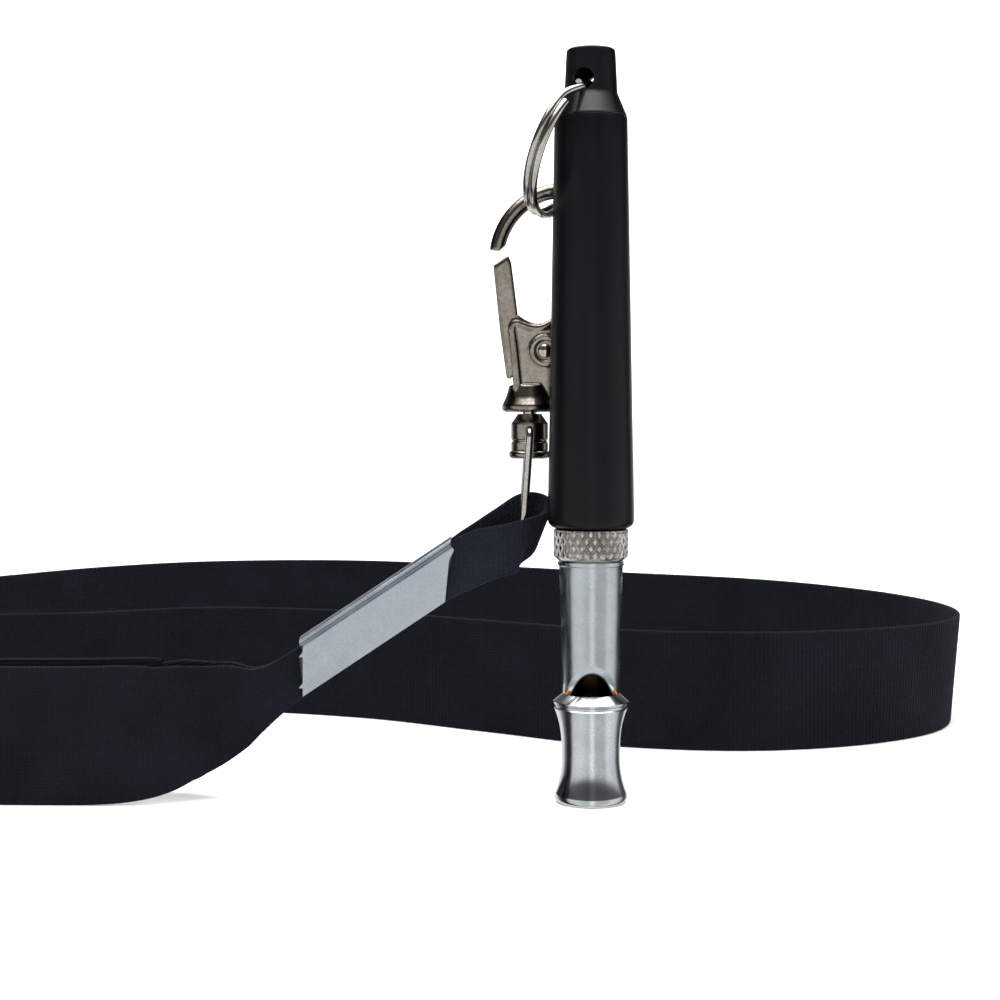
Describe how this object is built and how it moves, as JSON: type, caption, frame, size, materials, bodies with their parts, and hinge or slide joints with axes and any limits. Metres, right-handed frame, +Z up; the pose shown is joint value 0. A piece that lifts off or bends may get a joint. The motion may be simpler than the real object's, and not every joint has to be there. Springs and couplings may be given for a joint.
{
  "type": "dog training whistle",
  "caption": "Adjustable-pitch silent dog whistle with a knurled lock nut, on a split ring, trigger snap hook and wire bail, with a woven neck lanyard closed by a folded crimp.",
  "frame": {"origin": "centre of the flat mouth end, on the surface the whistle stands on", "axes": "+Z up along the whistle's axis, towards the hanger; +X to the user's right; the user's side, with the sound window, is -Y"},
  "size_m": [0.2221, 0.1488, 0.082],
  "materials": {
    "ribbon": "woven, very dark navy black",
    "crimp_nickel": "satin nickel plate",
    "bright_nickel": "bright nickel plate",
    "hook_nickel": "nickel-plated casting",
    "spring_steel": "plain spring wire",
    "matte_black": "matte black moulding",
    "gloss_black": "gloss black moulding",
    "brass": "turned",
    "tube_nickel": "satin nickel plate",
    "seal_rubber": "moulded",
    "knurl_nickel": "knurled, nickel plated",
    "mouth_nickel": "polished nickel plate"
  },
  "bodies": {
    "lanyard": {"neck_ribbon": "ribbon", "end_loop": "ribbon", "crimp": "crimp_nickel"},
    "bail": {"wire_bail": "bright_nickel"},
    "swivel": {"swivel_barrel": "hook_nickel"},
    "hook": {"hook_body": "hook_nickel", "gate_pin": "bright_nickel", "gate_spring": "spring_steel", "swivel_rivet": "bright_nickel"},
    "gate": {"hook_gate": "hook_nickel"},
    "ring": {"split_ring": "bright_nickel"},
    "handle": {"handle_sleeve": "matte_black", "hanger_cap": "gloss_black", "thread_bush": "brass", "tuning_rod": "tube_nickel", "piston": "brass", "piston_seal": "seal_rubber"},
    "nut": {"lock_nut": "knurl_nickel"},
    "tube": {"whistle_tube": "tube_nickel", "mouthpiece": "mouth_nickel", "windway_plug": "brass"}
  },
  "joints": [
    {"name": "bail_turn", "type": "hinge", "parent": "lanyard", "child": "bail", "pos_m": [-0.00733, 0.002, 0.03], "axis": [0.0698, 0, 0.9976], "range_deg": [-10, 10]},
    {"name": "swivel_tilt", "type": "hinge", "parent": "bail", "child": "swivel", "pos_m": [-0.0066, 0.0053, 0.0405], "axis": [0, -1, 0], "range_deg": [0, 90]},
    {"name": "hook_swivel", "type": "hinge", "parent": "swivel", "child": "hook", "pos_m": [-0.0066, 0.0053, 0.042], "axis": [0, 0, 1], "range_deg": [-3, 90]},
    {"name": "gate_swing", "type": "hinge", "parent": "hook", "child": "gate", "pos_m": [-0.0049, 0.0053, 0.0493], "axis": [0, 1, 0], "range_deg": [0, 22], "stiffness_Nm_per_rad": 0.002, "springref_deg": -17.19, "deforming": ["gate_spring"]},
    {"name": "ring_spin", "type": "hinge", "parent": "hook", "child": "ring", "pos_m": [-0.00281, 0.00113, 0.07133], "axis": [0.8522, -0.3443, -0.3939], "continuous": true},
    {"name": "handle_swing", "type": "hinge", "parent": "hook", "child": "handle", "pos_m": [0, 0, 0.0784], "axis": [-0.3746, -0.9272, 0], "range_deg": [0, 170]},
    {"name": "tuning_turn", "type": "hinge", "parent": "handle", "child": "nut", "pos_m": [0, 0, 0.028], "axis": [0, 0, -1], "range_deg": [0, 1080]},
    {"name": "tuning_travel", "type": "slide", "parent": "nut", "child": "tube", "axis": [0, 0, -1], "range_m": [0, 0.003]}
  ],
  "couplings": [
    {"joint": "tuning_turn", "follows": "tuning_travel", "rad_per_m": 6283.2}
  ]
}
